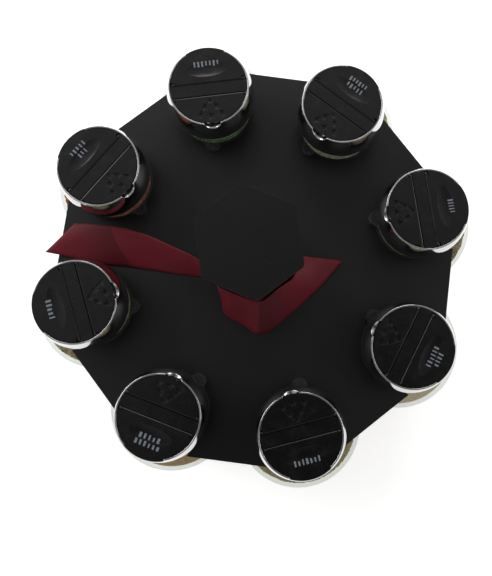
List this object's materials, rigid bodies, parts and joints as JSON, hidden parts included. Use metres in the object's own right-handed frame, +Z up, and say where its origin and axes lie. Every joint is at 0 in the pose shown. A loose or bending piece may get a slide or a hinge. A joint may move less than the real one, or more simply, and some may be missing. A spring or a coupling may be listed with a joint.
{
  "type": "spice carousel",
  "caption": "Turning spice rack: glass shaker jars with two-flap caps stand round a six-sided column, their necks in the notches of an eight-sided plate.",
  "frame": {"origin": "on the turning axis at table level, under the middle of the base", "axes": "+Z up along the turning axis; +X and +Y square to flat sides of the plate, so the jars stand at 22.5 degrees and every 45 degrees on"},
  "size_m": [0.2362, 0.2362, 0.1794],
  "materials": {
    "foot_rubber": "dull",
    "base_black": "satin moulded",
    "race_steel": "pressed",
    "ball_steel": "polished",
    "rivet_steel": "plated",
    "stand_black": "satin",
    "clip_clear": "clear, glossy",
    "ribbon_satin": "satin",
    "jar_glass": "clear",
    "ring_chrome": "polished",
    "cap_black": "glossy",
    "spice_1": "coarse dried leaf",
    "spice_2": "flakes",
    "spice_3": "dried leaf",
    "spice_4": "crushed flakes",
    "spice_5": "fine leaf",
    "spice_6": "powder",
    "spice_7": "rubbed leaf",
    "spice_8": "coarse salt"
  },
  "bodies": {
    "base": {"rubber_feet": "foot_rubber", "base_plate": "base_black", "lower_race": "race_steel", "bearing_balls": "ball_steel", "pivot_rivet": "rivet_steel"},
    "turntable": {"upper_race": "race_steel", "tray": "stand_black", "column": "stand_black", "top_plate": "stand_black", "knob": "stand_black", "neck_clips": "clip_clear", "ribbon": "ribbon_satin"},
    "jar_1": {"glass_1": "jar_glass", "spice_1": "spice_1"},
    "cap_1": {"cap_ring_1": "ring_chrome", "cap_insert_1": "cap_black"},
    "pour_flap_1": {"pour_flap_1": "cap_black"},
    "sift_flap_1": {"sift_flap_1": "cap_black"},
    "jar_2": {"glass_2": "jar_glass", "spice_2": "spice_2"},
    "cap_2": {"cap_ring_2": "ring_chrome", "cap_insert_2": "cap_black"},
    "pour_flap_2": {"pour_flap_2": "cap_black"},
    "sift_flap_2": {"sift_flap_2": "cap_black"},
    "jar_3": {"glass_3": "jar_glass", "spice_3": "spice_3"},
    "cap_3": {"cap_ring_3": "ring_chrome", "cap_insert_3": "cap_black"},
    "pour_flap_3": {"pour_flap_3": "cap_black"},
    "sift_flap_3": {"sift_flap_3": "cap_black"},
    "jar_4": {"glass_4": "jar_glass", "spice_4": "spice_4"},
    "cap_4": {"cap_ring_4": "ring_chrome", "cap_insert_4": "cap_black"},
    "pour_flap_4": {"pour_flap_4": "cap_black"},
    "sift_flap_4": {"sift_flap_4": "cap_black"},
    "jar_5": {"glass_5": "jar_glass", "spice_5": "spice_5"},
    "cap_5": {"cap_ring_5": "ring_chrome", "cap_insert_5": "cap_black"},
    "pour_flap_5": {"pour_flap_5": "cap_black"},
    "sift_flap_5": {"sift_flap_5": "cap_black"},
    "jar_6": {"glass_6": "jar_glass", "spice_6": "spice_6"},
    "cap_6": {"cap_ring_6": "ring_chrome", "cap_insert_6": "cap_black"},
    "pour_flap_6": {"pour_flap_6": "cap_black"},
    "sift_flap_6": {"sift_flap_6": "cap_black"},
    "jar_7": {"glass_7": "jar_glass", "spice_7": "spice_7"},
    "cap_7": {"cap_ring_7": "ring_chrome", "cap_insert_7": "cap_black"},
    "pour_flap_7": {"pour_flap_7": "cap_black"},
    "sift_flap_7": {"sift_flap_7": "cap_black"},
    "jar_8": {"glass_8": "jar_glass", "spice_8": "spice_8"},
    "cap_8": {"cap_ring_8": "ring_chrome", "cap_insert_8": "cap_black"},
    "pour_flap_8": {"pour_flap_8": "cap_black"},
    "sift_flap_8": {"sift_flap_8": "cap_black"}
  },
  "joints": [
    {"name": "turntable_spin", "type": "hinge", "parent": "base", "child": "turntable", "pos_m": [0, 0, 0.02], "axis": [0, 0, 1], "continuous": true},
    {"name": "jar_1_slide_out", "type": "slide", "parent": "turntable", "child": "jar_1", "axis": [0.9239, 0.3827, 0], "range_m": [0, 0.06]},
    {"name": "cap_1_lift", "type": "slide", "parent": "jar_1", "child": "cap_1", "axis": [0, 0, 1], "range_m": [0, 0.02]},
    {"name": "pour_flap_1_hinge", "type": "hinge", "parent": "cap_1", "child": "pour_flap_1", "pos_m": [0.08634, 0.03545, 0.1362], "axis": [0.2672, -0.9636, 0], "range_deg": [0, 95]},
    {"name": "sift_flap_1_hinge", "type": "hinge", "parent": "cap_1", "child": "sift_flap_1", "pos_m": [0.07853, 0.03329, 0.1362], "axis": [-0.2672, 0.9636, 0], "range_deg": [0, 95]},
    {"name": "jar_2_slide_out", "type": "slide", "parent": "turntable", "child": "jar_2", "axis": [0.3827, 0.9239, 0], "range_m": [0, 0.06]},
    {"name": "cap_2_lift", "type": "slide", "parent": "jar_2", "child": "cap_2", "axis": [0, 0, 1], "range_m": [0, 0.02]},
    {"name": "pour_flap_2_hinge", "type": "hinge", "parent": "cap_2", "child": "pour_flap_2", "pos_m": [0.03598, 0.08612, 0.1362], "axis": [0.8704, -0.4924, 0], "range_deg": [0, 95]},
    {"name": "sift_flap_2_hinge", "type": "hinge", "parent": "cap_2", "child": "sift_flap_2", "pos_m": [0.03199, 0.07907, 0.1362], "axis": [-0.8704, 0.4924, 0], "range_deg": [0, 95]},
    {"name": "jar_3_slide_out", "type": "slide", "parent": "turntable", "child": "jar_3", "axis": [-0.3827, 0.9239, 0], "range_m": [0, 0.06]},
    {"name": "cap_3_lift", "type": "slide", "parent": "jar_3", "child": "cap_3", "axis": [0, 0, 1], "range_m": [0, 0.02]},
    {"name": "pour_flap_3_hinge", "type": "hinge", "parent": "cap_3", "child": "pour_flap_3", "pos_m": [-0.03541, 0.08635, 0.1362], "axis": [0.9681, 0.2504, 0], "range_deg": [0, 95]},
    {"name": "sift_flap_3_hinge", "type": "hinge", "parent": "cap_3", "child": "sift_flap_3", "pos_m": [-0.03338, 0.07851, 0.1362], "axis": [-0.9681, -0.2504, 0], "range_deg": [0, 95]},
    {"name": "jar_4_slide_out", "type": "slide", "parent": "turntable", "child": "jar_4", "axis": [-0.9239, 0.3827, 0], "range_m": [0, 0.06]},
    {"name": "cap_4_lift", "type": "slide", "parent": "jar_4", "child": "cap_4", "axis": [0, 0, 1], "range_m": [0, 0.02]},
    {"name": "pour_flap_4_hinge", "type": "hinge", "parent": "cap_4", "child": "pour_flap_4", "pos_m": [-0.08606, 0.03609, 0.1362], "axis": [0.5373, 0.8434, 0], "range_deg": [0, 95]},
    {"name": "sift_flap_4_hinge", "type": "hinge", "parent": "cap_4", "child": "sift_flap_4", "pos_m": [-0.07923, 0.03174, 0.1362], "axis": [-0.5373, -0.8434, 0], "range_deg": [0, 95]},
    {"name": "jar_5_slide_out", "type": "slide", "parent": "turntable", "child": "jar_5", "axis": [-0.9239, -0.3827, 0], "range_m": [0, 0.06]},
    {"name": "cap_5_lift", "type": "slide", "parent": "jar_5", "child": "cap_5", "axis": [0, 0, 1], "range_m": [0, 0.02]},
    {"name": "pour_flap_5_hinge", "type": "hinge", "parent": "cap_5", "child": "pour_flap_5", "pos_m": [-0.08621, -0.0358, 0.1362], "axis": [-0.4147, 0.91, 0], "range_deg": [0, 95]},
    {"name": "sift_flap_5_hinge", "type": "hinge", "parent": "cap_5", "child": "sift_flap_5", "pos_m": [-0.07884, -0.03244, 0.1362], "axis": [0.4147, -0.91, 0], "range_deg": [0, 95]},
    {"name": "jar_6_slide_out", "type": "slide", "parent": "turntable", "child": "jar_6", "axis": [-0.3827, -0.9239, 0], "range_m": [0, 0.06]},
    {"name": "cap_6_lift", "type": "slide", "parent": "jar_6", "child": "cap_6", "axis": [0, 0, 1], "range_m": [0, 0.02]},
    {"name": "pour_flap_6_hinge", "type": "hinge", "parent": "cap_6", "child": "pour_flap_6", "pos_m": [-0.03537, -0.08636, 0.1362], "axis": [-0.9724, 0.2334, 0], "range_deg": [0, 95]},
    {"name": "sift_flap_6_hinge", "type": "hinge", "parent": "cap_6", "child": "sift_flap_6", "pos_m": [-0.03348, -0.07848, 0.1362], "axis": [0.9724, -0.2334, 0], "range_deg": [0, 95]},
    {"name": "jar_7_slide_out", "type": "slide", "parent": "turntable", "child": "jar_7", "axis": [0.3827, -0.9239, 0], "range_m": [0, 0.06]},
    {"name": "cap_7_lift", "type": "slide", "parent": "jar_7", "child": "cap_7", "axis": [0, 0, 1], "range_m": [0, 0.02]},
    {"name": "pour_flap_7_hinge", "type": "hinge", "parent": "cap_7", "child": "pour_flap_7", "pos_m": [0.03569, -0.08626, 0.1362], "axis": [-0.9304, -0.3665, 0], "range_deg": [0, 95]},
    {"name": "sift_flap_7_hinge", "type": "hinge", "parent": "cap_7", "child": "sift_flap_7", "pos_m": [0.03272, -0.07873, 0.1362], "axis": [0.9304, 0.3665, 0], "range_deg": [0, 95]},
    {"name": "jar_8_slide_out", "type": "slide", "parent": "turntable", "child": "jar_8", "axis": [0.9239, -0.3827, 0], "range_m": [0, 0.06]},
    {"name": "cap_8_lift", "type": "slide", "parent": "jar_8", "child": "cap_8", "axis": [0, 0, 1], "range_m": [0, 0.02]},
    {"name": "pour_flap_8_hinge", "type": "hinge", "parent": "cap_8", "child": "pour_flap_8", "pos_m": [0.08629, -0.03561, 0.1362], "axis": [-0.3338, -0.9426, 0], "range_deg": [0, 95]},
    {"name": "sift_flap_8_hinge", "type": "hinge", "parent": "cap_8", "child": "sift_flap_8", "pos_m": [0.07866, -0.03291, 0.1362], "axis": [0.3338, 0.9426, 0], "range_deg": [0, 95]}
  ]
}
